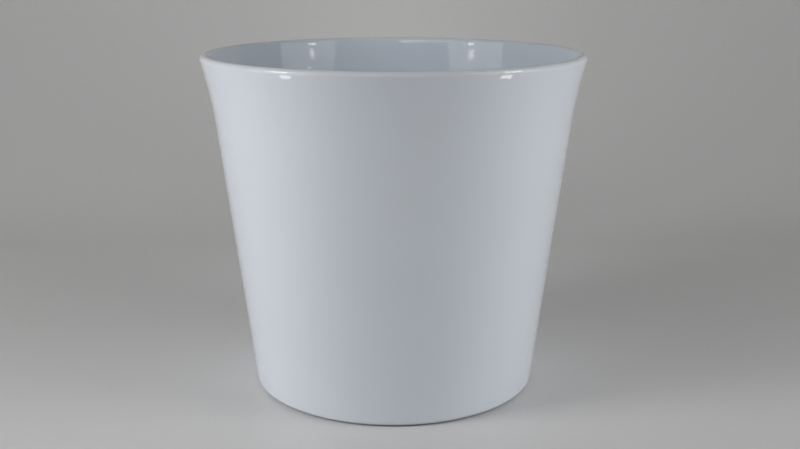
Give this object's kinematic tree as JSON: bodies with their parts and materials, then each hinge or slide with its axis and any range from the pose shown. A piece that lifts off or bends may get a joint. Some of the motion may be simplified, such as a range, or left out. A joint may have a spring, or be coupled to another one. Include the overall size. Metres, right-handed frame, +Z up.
{
  "type": "conical vase",
  "caption": "Wide-mouthed conical vase of white glazed ceramic with a softly flared rim, a half-round lip and a recessed foot on felt pads; holds a plant pot, flowers or water.",
  "frame": {"origin": "on the table, under the middle of the foot", "axes": "+Z up along the axis of the cone, out of the mouth; +X to the right and -Y towards the viewer of the picture"},
  "size_m": [0.18, 0.18, 0.16],
  "materials": {
    "glazed_ceramic": "smooth high-gloss white glaze with a cool tint, bare fired clay on the foot ring",
    "pad_felt": "pressed grey wool felt, matt"
  },
  "bodies": {
    "root": {"vessel": "glazed_ceramic", "foot_pad_front_left": "pad_felt", "foot_pad_front_right": "pad_felt", "foot_pad_back_left": "pad_felt", "foot_pad_back_right": "pad_felt"}
  },
  "joints": []
}
